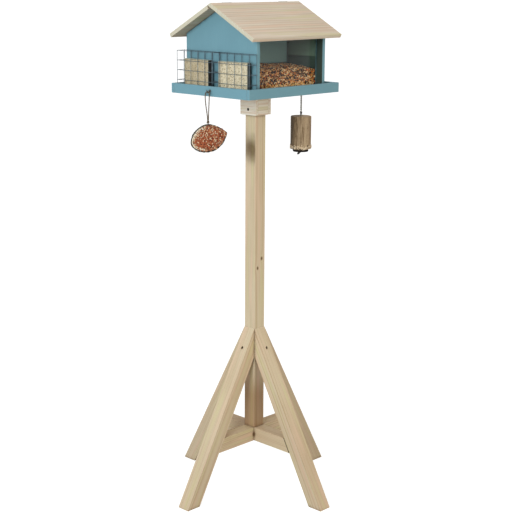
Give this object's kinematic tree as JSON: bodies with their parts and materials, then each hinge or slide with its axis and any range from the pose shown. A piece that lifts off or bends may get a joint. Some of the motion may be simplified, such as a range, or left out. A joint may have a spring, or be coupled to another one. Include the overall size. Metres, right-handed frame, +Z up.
{
  "type": "bird table",
  "caption": "Wooden bird table: a square post on raking legs carries a tray with a gabled seed house, a lifting roof, wire suet cages, a hanging half coconut and a seed log.",
  "frame": {"origin": "on the ground under the middle of the post", "axes": "+Z up along the post, the roof's ridge along X with the suet cages on the -X gable, the lifting slope of the roof on +Y and the fixed slope on -Y"},
  "size_m": [0.5732, 0.5732, 1.4152],
  "materials": {
    "pine": "planed, unfinished",
    "painted_wood": "satin blue-green paint",
    "roof_pine": "planed, unfinished",
    "clear_sheet": "clear, polished",
    "zinc": "zinc plated",
    "dark_steel": "browned",
    "cage_wire": "grey-green coating",
    "seed_mix": "loose mixed seed",
    "suet": "pressed fat with seed",
    "black_plastic": "satin",
    "nut_shell": "rough, fibrous",
    "nut_flesh": "smooth, matt",
    "nut_fill": "fat with chopped nuts",
    "jute": "twisted, hairy",
    "log_crumb": "pressed seed crumb",
    "galvanised_wire": "galvanised, twisted"
  },
  "bodies": {
    "table": {"post": "pine", "brace_lower": "pine", "brace_upper": "pine", "post_foot_screw": "zinc", "leg_right": "pine", "leg_back": "pine", "leg_left": "pine", "leg_front": "pine", "leg_screw_right": "zinc", "leg_screw_back": "zinc", "leg_screw_left": "zinc", "leg_screw_front": "zinc", "brace_dowel_right": "pine", "brace_dowel_back": "pine", "brace_dowel_left": "pine", "brace_dowel_front": "pine", "collar_right": "pine", "collar_back": "pine", "collar_left": "pine", "collar_front": "pine", "collar_screw_right": "zinc", "collar_screw_left": "zinc", "tray_floor": "painted_wood", "floor_screw": "zinc", "rim_back": "painted_wood", "rim_front": "painted_wood", "rim_right": "painted_wood", "rim_left": "painted_wood", "hook_right": "dark_steel", "hook_left": "dark_steel", "gable_right": "painted_wood", "gable_left": "painted_wood", "pane_back": "clear_sheet", "pane_front": "clear_sheet", "seed_fill": "seed_mix", "roof_front": "roof_pine", "hinge_ridge_leaf_left": "zinc", "hinge_pin_left": "zinc", "hinge_ridge_leaf_right": "zinc", "hinge_pin_right": "zinc", "cage_back": "cage_wire", "cage_staple_back": "zinc", "cage_front": "cage_wire", "cage_staple_front": "zinc"},
    "lid": {"roof_lid": "roof_pine", "hinge_lid_leaf_left": "zinc", "hinge_lid_leaf_right": "zinc"},
    "suet_back": {"suet_dish_back": "black_plastic", "suet_cake_back": "suet"},
    "suet_front": {"suet_dish_front": "black_plastic", "suet_cake_front": "suet"},
    "twine": {"twine_loop": "jute"},
    "coconut": {"coconut_shell": "nut_shell", "coconut_flesh": "nut_flesh", "coconut_fill": "nut_fill", "twine_knot": "jute"},
    "log_hanger": {"log_wire": "galvanised_wire", "log_washer": "black_plastic"},
    "log": {"seed_log": "log_crumb"}
  },
  "joints": [
    {"name": "lid_hinge", "type": "hinge", "parent": "table", "child": "lid", "pos_m": [0, 0.01322, 1.41061], "axis": [1, 0, 0], "range_deg": [0, 120]},
    {"name": "suet_back_lift", "type": "slide", "parent": "table", "child": "suet_back", "axis": [0, 0, 1], "range_m": [0, 0.07]},
    {"name": "suet_front_lift", "type": "slide", "parent": "table", "child": "suet_front", "axis": [0, 0, 1], "range_m": [0, 0.07]},
    {"name": "coconut_swing", "type": "hinge", "parent": "table", "child": "twine", "pos_m": [-0.18665, -0.003, 1.1775], "axis": [1, 0, 0], "range_deg": [-40, 40]},
    {"name": "coconut_twist", "type": "hinge", "parent": "twine", "child": "coconut", "pos_m": [-0.18665, -0.003, 1.1775], "axis": [0, 0, 1], "range_deg": [-90, 90]},
    {"name": "log_swing", "type": "hinge", "parent": "table", "child": "log_hanger", "pos_m": [0.18665, -0.003, 1.1775], "axis": [1, 0, 0], "range_deg": [-40, 40]},
    {"name": "log_spin", "type": "hinge", "parent": "log_hanger", "child": "log", "pos_m": [0.18665, -0.003, 1], "axis": [0, 0, 1], "continuous": true}
  ]
}
